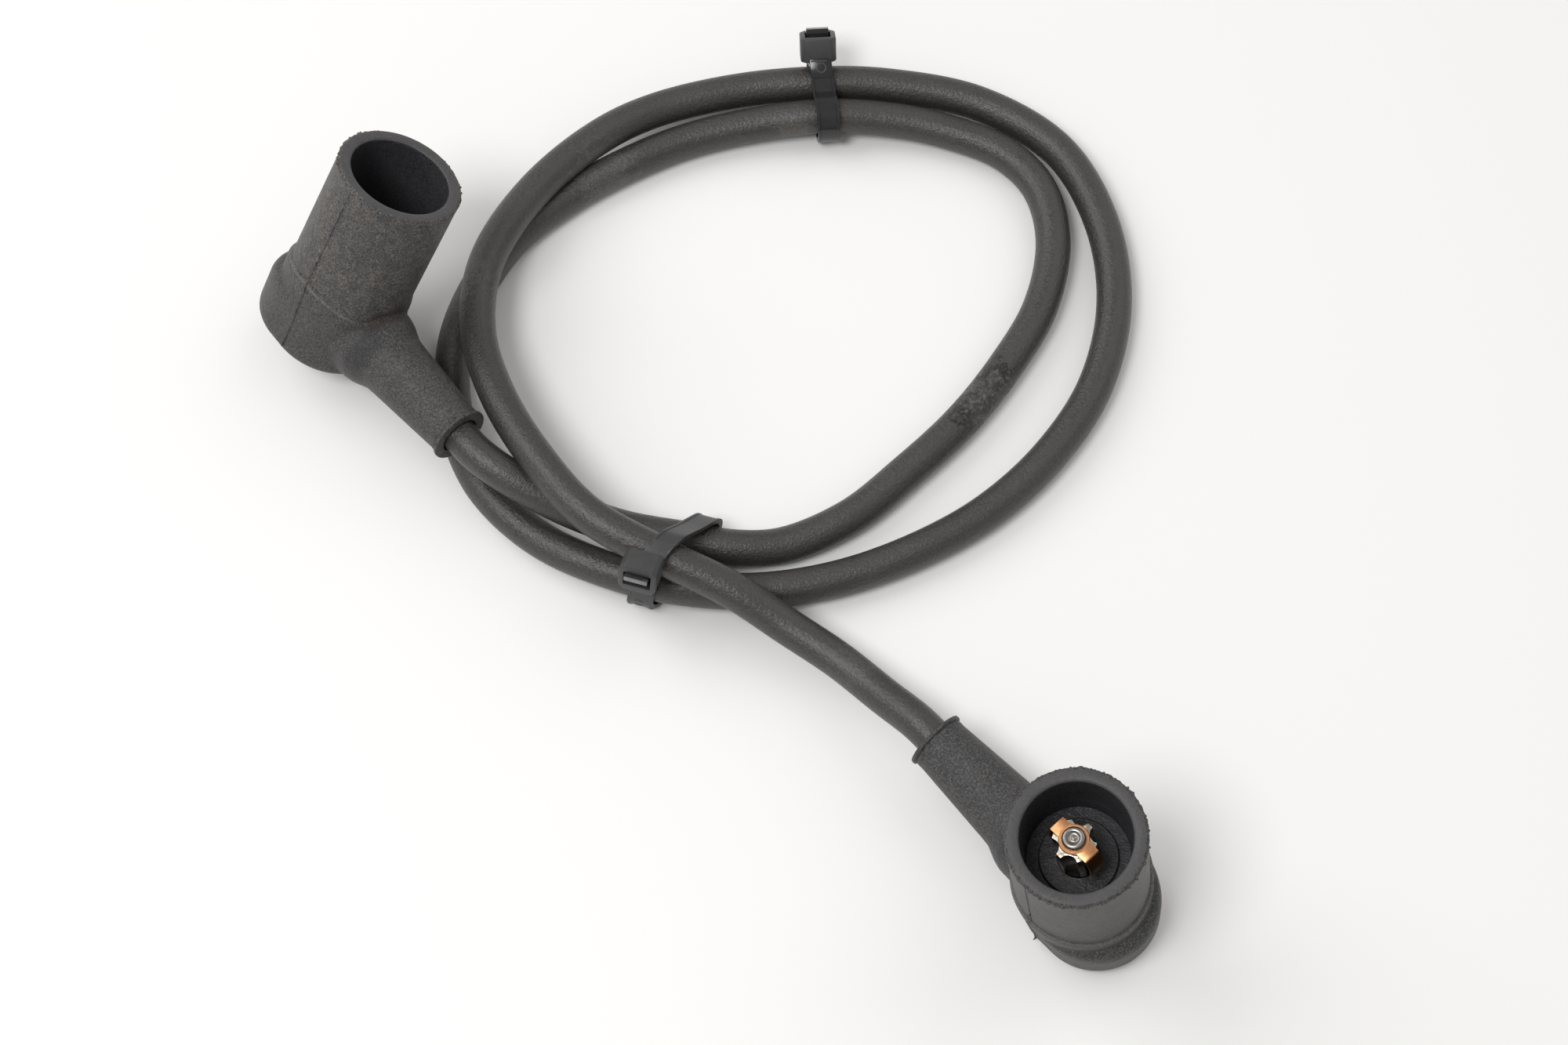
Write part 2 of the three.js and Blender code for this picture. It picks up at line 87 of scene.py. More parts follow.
def mesh_from(name, body):
    mesh = bpy.data.meshes.new(name)
    body.to_mesh(mesh)
    body.free()
    return mesh


def object_from(name, body, crease=math.radians(35)):
    """Smooth all over but for the edges that turn by more than crease."""
    mesh = mesh_from(name, body)
    for face in mesh.polygons:
        face.use_smooth = True
    mesh.set_sharp_from_angle(angle=crease)
    return place_object(name, mesh)


def new_material(name, color, roughness, metallic=0.0):
    made = bpy.data.materials.new(name)
    made.use_nodes = True
    shader = made.node_tree.nodes["Principled BSDF"]
    shader.inputs["Base Color"].default_value = (*color, 1)
    shader.inputs["Roughness"].default_value = roughness
    shader.inputs["Metallic"].default_value = metallic
    return made, made.node_tree, shader


def feed(tree, socket, value):
    """Links another node's socket to this one, or sets a plain value on it."""
    if isinstance(value, bpy.types.NodeSocket):
        tree.links.new(value, socket)
    else:
        socket.default_value = value


def add_node(tree, kind, settings=None, **sockets):
    made = tree.nodes.new(kind)
    for name, value in (settings or {}).items():
        setattr(made, name, value)
    for name, value in sockets.items():
        feed(tree, made.inputs[name.replace("_", " ")], value)
    return made


floor_body = bmesh.new()
bmesh.ops.create_grid(floor_body, x_segments=8, y_segments=8, size=3)
floor = object_from("table_sheet", floor_body)
floor.data.materials.append(new_material("white_sheet", (0.87, 0.862, 0.852), 0.6)[0])

# The cable: 7 mm of stranded conductor under an extruded rubber jacket, pushed into a boot at each
# end. It lies in two loose loops that rest on the table and climb over each other at the crossings.
cable_diameter = 7 * mm
cable_route = [
    (-63.5, 47.5, 12.9), (-53.3, 36, 13), (-44.2, 25.6, 13), (-41.3, 22.3, 13), (-36.8, 18.8, 12.5),
    (-29, 14.8, 10), (-21, 11.8, 7.4), (-13, 9.5, 6), (-1.5, 7.5, 5.5), (8, 6.2, 4.6), (17, 7.2, 3.6),
    (29.5, 13, 3.6), (40.5, 22.5, 3.6), (51, 33, 3.6), (60, 45, 3.6), (67.5, 58.5, 3.6), (70.5, 73.5, 3.6),
    (68, 85.5, 3.6), (61, 93.5, 3.6), (48.5, 98.8, 3.9), (37.5, 100.8, 4.6), (25, 101, 5.4), (9, 99.3, 4.2),
    (-3.5, 96, 3.6), (-15, 90.5, 3.6), (-26, 83.5, 3.6), (-36.5, 74, 3.6), (-43, 63.5, 3.6), (-46.5, 54, 3.6),
    (-47.6, 45.5, 3.6), (-47, 37, 3.6), (-44.8, 28, 3.6), (-39.5, 18, 3.6), (-29, 8.2, 3.6), (-14.5, 1, 4.8),
    (-3.5, -2, 5.4), (11, -2.5, 4.2), (26, 0, 3.6), (41, 5.5, 3.6), (55.5, 14, 3.6), (68, 26, 3.6),
    (77.5, 41, 3.6), (82, 59.5, 3.6), (80, 78.5, 3.6), (72, 94.5, 3.6), (56.5, 105, 3.9), (38.5, 108.6, 4.8),
    (25, 108.8, 5.4), (8, 107.2, 5.2), (-9, 102, 6), (-20, 94.6, 7.9), (-32.5, 81, 9.8), (-41, 64.5, 11),
    (-42, 49, 11.8), (-37.5, 34.2, 13.6), (-29, 19.5, 15.2), (-19.5, 8.5, 15.2), (-5, 0.5, 13.4),
    (7.5, -5.2, 11), (17.5, -11, 7.8), (27, -17.5, 7.2), (35.5, -25.5, 9), (41.2, -30.9, 10.7),
    (44.2, -34.1, 10.8), (53.7, -44.2, 10.6), (64.1, -55.5, 10.2),
]


def smooth_line(points, spacing):
    """A centripetal Catmull-Rom curve through the points, in equal steps of about spacing."""
    points = [Vector(p) for p in points]
    ends = [2 * points[0] - points[1], *points, 2 * points[-1] - points[-2]]
    dense, steps = [], 24
    for i in range(1, len(ends) - 2):
        p0, p1, p2, p3 = ends[i - 1 : i + 3]
        t1 = math.sqrt((p1 - p0).length)
        t2 = t1 + math.sqrt((p2 - p1).length)
        t3 = t2 + math.sqrt((p3 - p2).length)
        for k in range(steps):
            t = t1 + (t2 - t1) * k / steps
            a1 = p0 * ((t1 - t) / t1) + p1 * (t / t1)
            a2 = p1 * ((t2 - t) / (t2 - t1)) + p2 * ((t - t1) / (t2 - t1))
            a3 = p2 * ((t3 - t) / (t3 - t2)) + p3 * ((t - t2) / (t3 - t2))
            b1 = a1 * ((t2 - t) / t2) + a2 * (t / t2)
            b2 = a2 * ((t3 - t) / (t3 - t1)) + a3 * ((t - t1) / (t3 - t1))
            dense.append(b1 * ((t2 - t) / (t2 - t1)) + b2 * ((t - t1) / (t2 - t1)))
    dense.append(ends[-2])
    run = [0.0]
    for a, b in zip(dense, dense[1:]):
        run.append(run[-1] + (b - a).length)
    count = round(run[-1] / spacing)
    line, at = [], 0
    for k in range(count + 1):
        goal = run[-1] * k / count
        while at < len(run) - 2 and run[at + 1] < goal:
            at += 1
        share = (goal - run[at]) / max(run[at + 1] - run[at], 1e-12)
        line.append(dense[at].lerp(dense[at + 1], min(1, share)))
    return line, run[-1]


cable_line, cable_length = smooth_line([Vector(p) * mm for p in cable_route], 1.5 * mm)


def tube_along(line, radius, sides):
    """Rings of equal size carried along the line without twist, joined and closed, with a UV map of
    metres round and along."""
    body = bmesh.new()
    uv = body.loops.layers.uv.new("round_and_along")
    heading = (line[1] - line[0]).normalized()
    side = heading.cross(Vector((0, 0, 1))).normalized()
    rings = []
    for i, point in enumerate(line):
        ahead = line[min(i + 1, len(line) - 1)] - line[max(i - 1, 0)]
        turned = ahead.normalized()
        side = (heading.rotation_difference(turned) @ side).normalized()
        heading = turned
        up = side.cross(heading)
        ring = []
        for k in range(sides):
            angle = 2 * math.pi * k / sides
            spot = point + side * radius * math.cos(angle) + up * radius * math.sin(angle)
            ring.append(body.verts.new(spot))
        rings.append(ring)
    along = [0.0]
    for a, b in zip(line, line[1:]):
        along.append(along[-1] + (b - a).length)
    for i in range(len(rings) - 1):
        for k in range(sides):
            nxt = (k + 1) % sides
            face = body.faces.new((rings[i][k], rings[i][nxt], rings[i + 1][nxt], rings[i + 1][k]))
            corners = ((k, i), (k + 1, i), (k + 1, i + 1), (k, i + 1))
            for loop, (u, v) in zip(face.loops, corners):
                loop[uv].uv = (u / sides * 2 * math.pi * radius, along[v])
    body.faces.new(rings[0])
    body.faces.new(list(reversed(rings[-1])))
    bmesh.ops.recalc_face_normals(body, faces=body.faces)
    return body


cable = object_from("ignition_cable_jacket", tube_along(cable_line, cable_diameter / 2, sides=32))


def use_group(tree, group, **values):
    made = add_node(tree, "ShaderNodeGroup", {"node_tree": group})
    for name, value in values.items():
        feed(tree, made.inputs[name], value)
    return made.outputs


def math_node(tree, operation, a, b, c=0.0):
    made = add_node(tree, "ShaderNodeMath", {"operation": operation})
    for socket, value in zip(made.inputs, (a, b, c)):
        feed(tree, socket, value)
    return made.outputs[0]


def times(tree, a, b):
    return math_node(tree, "MULTIPLY", a, b)


def color_mix(tree, share, a, b):
    """Colour a where share is 0 and colour b where it is 1."""
    made = add_node(tree, "ShaderNodeMix", {"data_type": "RGBA"})
    feed(tree, made.inputs[0], share)
    for socket, color in ((made.inputs[6], a), (made.inputs[7], b)):
        feed(tree, socket, (*color, 1) if isinstance(color, tuple) else color)
    return made.outputs[2]


def noise_at(tree, where, scale, detail, roughness=0.5):
    made = add_node(tree, "ShaderNodeTexNoise", Vector=where, Scale=scale, Detail=detail, Roughness=roughness)
    return made.outputs[0]


def give_relief(tree, shader, height, strength, distance):
    bump = add_node(tree, "ShaderNodeBump", Strength=strength, Distance=distance, Height=height)
    tree.links.new(bump.outputs[0], shader.inputs["Normal"])


def grain_group():
    """Fine speckled skin of moulded or extruded rubber: a height for the relief, a 0 to 1 speckle and
    broad clouds. Grain and Pits say how fine."""
    tree = bpy.data.node_groups.new("rubber_skin", "ShaderNodeTree")
    for name in ("Grain", "Pits"):
        tree.interface.new_socket(name, in_out="INPUT", socket_type="NodeSocketFloat")
    for name in ("Height", "Speckle", "Cloud"):
        tree.interface.new_socket(name, in_out="OUTPUT", socket_type="NodeSocketFloat")
    given = add_node(tree, "NodeGroupInput")
    out = add_node(tree, "NodeGroupOutput")
    where = add_node(tree, "ShaderNodeTexCoord").outputs["Object"]
    fine = noise_at(tree, where, given.outputs["Grain"], 2.0, 0.6)
    pits = add_node(tree, "ShaderNodeTexVoronoi", Vector=where, Scale=given.outputs["Pits"])
    height = math_node(tree, "ADD", fine, times(tree, pits.outputs["Distance"], 0.55))
    speck = add_node(tree, "ShaderNodeMapRange", Value=fine, From_Min=0.42, From_Max=0.68).outputs[0]
    cloud = noise_at(tree, where, 95.0, 5.0, 0.62)
    tree.links.new(height, out.inputs["Height"])
    tree.links.new(speck, out.inputs["Speckle"])
    tree.links.new(cloud, out.inputs["Cloud"])
    return tree


def worn_patch_group():
    """1 round a place on the object and 0 away from it, with a worn, uneven edge."""
    tree = bpy.data.node_groups.new("worn_patch", "ShaderNodeTree")
    tree.interface.new_socket("Centre", in_out="INPUT", socket_type="NodeSocketVector")
    tree.interface.new_socket("Radius", in_out="INPUT", socket_type="NodeSocketFloat")
    tree.interface.new_socket("Mask", in_out="OUTPUT", socket_type="NodeSocketFloat")
    given = add_node(tree, "NodeGroupInput")
    out = add_node(tree, "NodeGroupOutput")
    where = add_node(tree, "ShaderNodeTexCoord").outputs["Object"]
    offset = add_node(tree, "ShaderNodeVectorMath", {"operation": "DISTANCE"})
    tree.links.new(where, offset.inputs[0])
    tree.links.new(given.outputs["Centre"], offset.inputs[1])
    ragged = noise_at(tree, where, 620.0, 7.0, 0.72)
    share = math_node(tree, "DIVIDE", offset.outputs["Value"], given.outputs["Radius"])
    share = math_node(tree, "ADD", share, times(tree, ragged, 2.4))
    fade = add_node(tree, "ShaderNodeMapRange", Value=share, From_Min=2.0, From_Max=1.75)
    tree.links.new(fade.outputs[0], out.inputs["Mask"])
    return tree


rubber_skin = grain_group()
worn_patch = worn_patch_group()


def patch(tree, centre, radius, strength):
    mask = use_group(tree, worn_patch, Centre=Vector(centre) * mm, Radius=radius * mm)
    return times(tree, mask[0], strength)


def dusty(tree, mask, speckle):
    """A mask that is thin between the skin's specks and full on them."""
    return times(tree, mask, math_node(tree, "MULTIPLY_ADD", speckle, 0.75, 0.25))


jacket, jacket_tree, jacket_shader = new_material("cable_jacket", (0.05, 0.046, 0.043), 0.5)
jacket_shader.inputs["Specular IOR Level"].default_value = 0.62
jacket_skin = use_group(jacket_tree, rubber_skin, Grain=2900.0, Pits=1300.0)
jacket_where = add_node(jacket_tree, "ShaderNodeTexCoord").outputs["Object"]
round_and_along = add_node(jacket_tree, "ShaderNodeUVMap").outputs[0]
stretched = add_node(jacket_tree, "ShaderNodeMapping", Vector=round_and_along, Scale=(1.0, 0.02, 1.0))
die_lines = noise_at(jacket_tree, stretched.outputs[0], 2600.0, 3.0)
specks = times(jacket_tree, jacket_skin["Speckle"], 0.3)
jacket_tone = color_mix(jacket_tree, jacket_skin["Cloud"], (0.024, 0.0215, 0.020), (0.042, 0.0375, 0.035))
jacket_tone = color_mix(jacket_tree, specks, jacket_tone, (0.10, 0.091, 0.085))
scuff = patch(jacket_tree, centre=(56, 37, 6.5), radius=9.5, strength=0.8)
scuff_grain = noise_at(jacket_tree, jacket_where, 1100.0, 6.0, 0.72)
scuff_share = add_node(jacket_tree, "ShaderNodeMapRange", Value=scuff_grain, From_Min=0.46, From_Max=0.66)
scuff_tone = color_mix(jacket_tree, scuff_share.outputs[0], (0.019, 0.018, 0.018), (0.13, 0.128, 0.124))
jacket_tone = color_mix(jacket_tree, scuff, jacket_tone, scuff_tone)
for centre, radius, strength, tone in (
    ((-19, 87, 6), 9, 0.6, (0.12, 0.115, 0.11)),
    ((19, 97.5, 6), 4.2, 0.5, (0.13, 0.112, 0.094)),
    ((72, 25.5, 4), 1.6, 1.0, (0.10, 0.09, 0.08)),
    ((-46, 60, 12), 8, 0.45, (0.11, 0.105, 0.10)),
    ((31, -19, 9), 7, 0.45, (0.11, 0.105, 0.10)),
):
    share = dusty(jacket_tree, patch(jacket_tree, centre, radius, strength), jacket_skin["Speckle"])
    jacket_tone = color_mix(jacket_tree, share, jacket_tone, tone)
jacket_tree.links.new(jacket_tone, jacket_shader.inputs["Base Color"])
jacket_gloss = math_node(jacket_tree, "MULTIPLY_ADD", jacket_skin["Cloud"], 0.16, 0.25)
jacket_gloss = math_node(jacket_tree, "ADD", jacket_gloss, times(jacket_tree, jacket_skin["Speckle"], 0.14))
jacket_gloss = math_node(jacket_tree, "SUBTRACT", jacket_gloss, times(jacket_tree, scuff, 0.2))
jacket_tree.links.new(jacket_gloss, jacket_shader.inputs["Roughness"])
skin_height = math_node(jacket_tree, "ADD", jacket_skin["Height"], times(jacket_tree, die_lines, 0.5))
scuff_height = times(jacket_tree, times(jacket_tree, scuff, scuff_grain), 5.0)
jacket_height = math_node(jacket_tree, "ADD", skin_height, scuff_height)
give_relief(jacket_tree, jacket_shader, jacket_height, strength=0.9, distance=0.00013)
cable.data.materials.append(jacket)
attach(cable, "root")
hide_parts("ignition_cable")

# The boots: two right-angled rubber mouldings, each a round cup on a heel with a sleeve for the cable.
# The mould's two halves met in the plane across the sleeve, and left a thin ragged line of flash.
cup_radius = 12
rim_height = 35.3
sleeve_tilt = math.radians(3.5)
# at: where the cup's axis meets the sleeve's. heading, fall and lean: the way the sleeve points, how far it
# dips and how far the cup leans over, in degrees. depth: of the cup, down to its floor.
boot_places = {
    "a": dict(at=(-69.2, 54, 12.8), heading=-50.5, fall=2.6, lean=-32, depth=24.2),
    "b": dict(at=(70, -61.8, 10.15), heading=132.5, fall=2.6, lean=-7.5, depth=13.6),
}


def place_of(boot):
    turn = (
        Matrix.Rotation(math.radians(boot["heading"]), 4, "Z")
        @ Matrix.Rotation(math.radians(boot["fall"]), 4, "Y")
        @ Matrix.Rotation(math.radians(boot["lean"]), 4, "X")
    )
    return Matrix.Translation(Vector(boot["at"]) * mm) @ turn


def spun(profile, steps=96):
    """A closed turned form about Z from its half section of (radius, height), in millimetres."""
    body = bmesh.new()
    verts = [body.verts.new((radius * mm, 0, height * mm)) for radius, height in profile]
    edges = [body.edges.new(pair) for pair in zip(verts, verts[1:])]
    bmesh.ops.spin(
        body, geom=verts + edges, cent=(0, 0, 0), axis=(0, 0, 1), angle=2 * math.pi, steps=steps,
        use_merge=True,
    )
    bmesh.ops.remove_doubles(body, verts=body.verts, dist=1e-7)
    bmesh.ops.recalc_face_normals(body, faces=body.faces)
    return body


def join_into(body, other, matrix=None):
    mesh = mesh_from("part", other)
    if matrix:
        mesh.transform(matrix)
    body.from_mesh(mesh)
    bpy.data.meshes.remove(mesh)


along_sleeve = Matrix.Rotation(-sleeve_tilt, 4, "Y") @ Matrix.Rotation(math.pi / 2, 4, "Y")


def heel_form():
    """The D-shaped foot under the cup: stacked rings, drawn out on the side away from the sleeve. Its
    top edge is a ridge round the cup, highest on the parting line and lower at nose and sleeve."""
    body = bmesh.new()
    bottom, foot_radius, foot_reach, foot_rounding = -9, 11.45, 3.2, 2.4
    # each level's height and radius, the reach of its nose, and its share in the ridge's climb
    levels = []
    for angle in (0, 22, 45, 68, 90):
        rise = foot_rounding * (1 - math.cos(math.radians(angle)))
        radius = foot_radius - foot_rounding * (1 - math.sin(math.radians(angle)))
        levels.append((bottom + rise, radius, foot_reach, 0))
    for angle in (0, 20, 40, 60, 75, 90):
        share = math.sin(math.radians(angle))
        reach = 0.3 + 2.9 * math.cos(math.radians(angle))
        levels.append((-1.4 + 4.4 * share, 11.6 + 0.6 * share, reach, 0.5 * share))
    levels += [
        (6.6, 12.5, 0.2, 0.85), (7.5, 12.55, 0.2, 1), (7.85, 12.45, 0.2, 1), (8.0, 12.2, 0.2, 1),
        (8.0, 11.5, 0.2, 1),
    ]
    rings = []
    for height, radius, reach, slant in levels:
        level = Matrix.Translation((0, 0, height * mm))
        made = bmesh.ops.create_circle(
            body, cap_ends=False, segments=96, radius=radius * mm, matrix=level
        )
        ring = made["verts"]
        for vert in ring:
            side = abs(vert.co.y) / (radius * mm)
            vert.co.z += slant * (3.6 * side**1.5 - 1.9) * mm
            if vert.co.x < -1e-6:
                vert.co.x -= reach * mm
        rings.append(list({edge for vert in ring for edge in vert.link_edges}))
    for low, high in zip(rings, rings[1:]):
        bmesh.ops.bridge_loops(body, edges=low + high)
    bmesh.ops.holes_fill(body, edges=rings[0], sides=0)
    bmesh.ops.holes_fill(body, edges=rings[-1], sides=0)
    bmesh.ops.recalc_face_normals(body, faces=body.faces)
    return body


def boot_skin():
    """The boot's outer forms before they are joined: the cup, the heel, and the sleeve with its collar."""
    body = spun(
        [
            (0, -6.4), (11.3, -6.4), (cup_radius, 9), (cup_radius, 34.7), (11.85, 35.1), (11.5, rim_height),
            (0, rim_height),
        ]
    )
    join_into(body, heel_form())
    sleeve = spun(
        [
            (0, 0), (8.4, 0), (8.4, 12), (8.3, 12.9), (7.9, 14.4), (7.25, 15.9), (6.8, 17), (6.62, 18.5),
            (5.4, 35.6), (5.4, 37.2), (0, 37.2),
        ],
        steps=72,
    )
    join_into(body, sleeve, along_sleeve)
    return body


def remeshed(body, voxel, rounds):
    """The union of overlapping closed forms as one skin, its inner corners filled a little."""
    rough = object_from("rough", body)
    grid = rough.modifiers.new("union", "REMESH")
    grid.mode = "VOXEL"
    grid.voxel_size = voxel * mm
    ease = rough.modifiers.new("ease", "SMOOTH")
    ease.factor = 0.5
    ease.iterations = rounds
    made = bpy.data.meshes.new_from_object(rough.evaluated_get(bpy.context.evaluated_depsgraph_get()))
    bpy.data.objects.remove(rough)
    return made


boot_outside = remeshed(boot_skin(), voxel=0.34, rounds=3)


def bore_form(floor):
    """What is cut out of the cup: the tapered bore, the pad on its floor and the groove round it."""
    return spun(
        [
            (0, floor), (6.7, floor), (6.85, floor - 0.15), (6.95, floor - 0.8), (8.95, floor - 0.8),
            (9.1, floor - 0.6), (9.1, 25.6), (9.16, 26.8), (9.4, 29.2), (9.48, 30.4), (9.52, 34.5),
            (9.6, 34.85), (9.78, 35.08), (10.05, 35.2), (11.8, 35.2), (11.8, 37), (0, 37),
        ],
        steps=128,
    )


def stem_form(floor):
    """What is cut out of the floor for the contact's round foot and the terminal's stem."""
    foot = floor - 1.2
    top = floor + 1
    return spun([(0, -1.9), (1.9, -1.9), (1.9, foot), (3.8, foot), (3.8, top), (0, top)], steps=48)


def cable_bore_form():
    return spun([(0, 6), (3.55, 6), (3.55, 36.9), (3.75, 37.6), (4.0, 40), (0, 40)], steps=64)


def cut(mesh, tools):
    """The mesh less each tool's mesh, in order, with every cut face finished as its tool is."""
    target = place_object("cutting", mesh)
    cutters = []
    for tool in tools:
        cutter = place_object("cutter", tool)
        cutters.append(cutter)
        step = target.modifiers.new("cut", "BOOLEAN")
        step.operation = "DIFFERENCE"
        step.solver = "EXACT"
        step.material_mode = "INDEX"
        step.object = cutter
    made = bpy.data.meshes.new_from_object(target.evaluated_get(bpy.context.evaluated_depsgraph_get()))
    for old in [target, *cutters]:
        bpy.data.objects.remove(old)
    return made


def flash_form(seed):
    """The thin lip at the sleeve's end, and the ragged flash: a line on the parting plane, on both
    sides of cup and heel, that steps over at the ridge, and a torn edge round the rim."""
    chance = random.Random(seed)
    body = bmesh.new()
    half_width, rooted = 0.26, 0.9
    for side in (-1, 1):
        outline = []
        height = -7.2
        while height < 34.8:
            if height < 3.5:
                base = 11.6 + 0.6 * max(0, (height + 1.4) / 4.9)
            else:
                base = 12.2 + 0.35 * (height - 3.5) / 6.2
            on_heel = height < 9.7
            proud = 0.1 + 0.14 * chance.random() ** 2
            if 8.9 < height < 10.2 or height < -6.2 or 14.6 < height < 16:
                proud += 0.6 * chance.random()
            outline.append(((base if on_heel else cup_radius) + proud, height, 0.55 if on_heel else 0))
            height += 0.3 + 0.5 * chance.random()
        front, crest, back = (
            [body.verts.new(((o + shift) * mm, side * (r - sunk) * mm, h * mm)) for r, h, o in outline]
            for shift, sunk in ((half_width, rooted), (0, 0), (-half_width, rooted))
        )
        for i in range(len(outline) - 1):
            for one, two in ((front, crest), (crest, back), (back, front)):
                body.faces.new((one[i], one[i + 1], two[i + 1], two[i]))
        body.faces.new((front[0], crest[0], back[0]))
        body.faces.new((back[-1], crest[-1], front[-1]))
    turns = 240
    torn = [0.06 + 0.2 * chance.random() ** 2 * (1 if chance.random() < 0.75 else 2.2) for k in range(turns)]
    section = [(11.6, 34.5), (cup_radius, 34.45), (cup_radius, 34.72), (11.6, 34.95)]
    rings = []
    for k, out in enumerate(torn):
        angle = 2 * math.pi * k / turns
        ring = []
        for radius, height in section:
            reach = radius + (out if radius == cup_radius else 0)
            spot = (reach * math.cos(angle) * mm, reach * math.sin(angle) * mm, height * mm)
            ring.append(body.verts.new(spot))
        rings.append(ring)
    for a, b in zip(rings, rings[1:] + rings[:1]):
        for k in range(4):
            body.faces.new((a[k], a[(k + 1) % 4], b[(k + 1) % 4], b[k]))
    bmesh.ops.recalc_face_normals(body, faces=body.faces)
    lip = spun(
        [
            (3.75, 35.9), (5.42, 35.9), (5.42, 36.55), (5.2, 36.7), (5.2, 36.85), (5.55, 37.0), (5.8, 37.15),
            (5.85, 37.35), (5.8, 37.7), (5.6, 37.78), (3.95, 37.78), (3.75, 37.6), (3.75, 35.9),
        ]
    )
    join_into(body, lip, along_sleeve)
    return body


def ranged(tree, value, low, high):
    """0 below low and 1 above high, or the other way round where low is the larger."""
    eased = {"interpolation_type": "SMOOTHSTEP"}
    made = add_node(tree, "ShaderNodeMapRange", eased, Value=value, From_Min=low, From_Max=high)
    return made.outputs[0]


def boot_wear_and_highlight_group():
    """Where a boot is dusty, rusty or rubbed, and where a painted highlight lies along the heel's ridge, by
    the place on the boot that each point keeps in on_boot, in millimetres: x to the sleeve, z up the cup."""
    tree = bpy.data.node_groups.new("boot_wear_and_highlight", "ShaderNodeTree")
    for name in ("Dust", "Rust", "Rubbed", "RidgeHighlight"):
        tree.interface.new_socket(name, in_out="OUTPUT", socket_type="NodeSocketFloat")
    out = add_node(tree, "NodeGroupOutput")
    spot = add_node(tree, "ShaderNodeAttribute", {"attribute_name": "on_boot"}).outputs["Vector"]
    x, y, z = add_node(tree, "ShaderNodeSeparateXYZ", Vector=spot).outputs
    coarse = noise_at(tree, spot, 0.45, 6.0, 0.7)
    fine = noise_at(tree, spot, 2.7, 8.0, 0.78)
    cup = times(tree, ranged(tree, z, 6.5, 10.5), ranged(tree, x, 13.5, 11.5))
    dust = times(tree, ranged(tree, fine, 0.46, 0.6), ranged(tree, coarse, 0.3, 0.62))
    dust = times(tree, dust, math_node(tree, "MULTIPLY_ADD", cup, 0.7, 0.3))
    where = add_node(tree, "ShaderNodeTexCoord").outputs["Object"]
    across_table = add_node(tree, "ShaderNodeSeparateXYZ", Vector=where).outputs["X"]
    left_boot = math_node(tree, "MULTIPLY_ADD", ranged(tree, across_table, 0.02, -0.02), 0.6, 0.4)
    tree.links.new(times(tree, dust, left_boot), out.inputs["Dust"])
    corner = times(tree, ranged(tree, x, 10.4, 11.6), ranged(tree, x, 14.2, 12.4))
    corner = times(tree, corner, times(tree, ranged(tree, z, 4.5, 7.5), ranged(tree, z, 12, 9)))
    tree.links.new(times(tree, corner, ranged(tree, fine, 0.38, 0.6)), out.inputs["Rust"])
    off_parting = math_node(tree, "ABSOLUTE", y, 0.0)
    collar = times(tree, ranged(tree, x, 11.5, 13), ranged(tree, x, 17.5, 15))
    side = times(tree, ranged(tree, off_parting, 3, 5.5), ranged(tree, coarse, 0.3, 0.5))
    tree.links.new(times(tree, collar, side), out.inputs["Rubbed"])
    # The ridge mask is a painted highlight: a pale ragged line along the heel's ridge, where its ledge
    # catches the light.
    climb = math_node(tree, "POWER", times(tree, off_parting, 1 / 12.3), 1.5)
    ridge_height = math_node(tree, "MULTIPLY_ADD", climb, 3.6, 6.0)
    off_ridge = math_node(tree, "ABSOLUTE", math_node(tree, "SUBTRACT", z, ridge_height), 0.0)
    ridge_highlight = times(tree, ranged(tree, off_ridge, 0.42, 0.08), ranged(tree, fine, 0.34, 0.56))
    tree.links.new(times(tree, ridge_highlight, ranged(tree, x, 11.5, 9)), out.inputs["RidgeHighlight"])
    return tree


boot_wear_and_highlight = boot_wear_and_highlight_group()


def boot_finish(name, low_tone, high_tone, speck_tone, speck_share, dust_share, roughness, relief):
    """Moulded rubber: clouded charcoal with pale specks, brown dust and a fine grained skin."""
    paint, tree, shader = new_material(name, low_tone, roughness)
    shader.inputs["Specular IOR Level"].default_value = 0.27
    skin = use_group(tree, rubber_skin, Grain=2900.0, Pits=1000.0)
    wear_and_highlight = use_group(tree, boot_wear_and_highlight)
    tone = color_mix(tree, skin["Cloud"], low_tone, high_tone)
    for mask, share, layer in (
        (skin["Speckle"], speck_share, speck_tone),
        (wear_and_highlight["Dust"], dust_share, (0.18, 0.155, 0.134)),
        (wear_and_highlight["Rust"], dust_share, (0.03, 0.018, 0.011)),
        (wear_and_highlight["Rubbed"], 0.55, (0.02, 0.02, 0.023)),
        # painted highlight: the pale line along the heel's ridge
        (wear_and_highlight["RidgeHighlight"], 0.6, (0.18, 0.168, 0.155)),
    ):
        tone = color_mix(tree, times(tree, mask, share), tone, layer)
    tree.links.new(tone, shader.inputs["Base Color"])
    gloss = math_node(tree, "MULTIPLY_ADD", skin["Cloud"], 0.2, roughness - 0.1)
    gloss = math_node(tree, "ADD", gloss, times(tree, skin["Speckle"], 0.12))
    gloss = math_node(tree, "SUBTRACT", gloss, times(tree, wear_and_highlight["Rubbed"], 0.1))
    tree.links.new(gloss, shader.inputs["Roughness"])
    give_relief(tree, shader, skin["Height"], relief, 0.0002)
    return paint


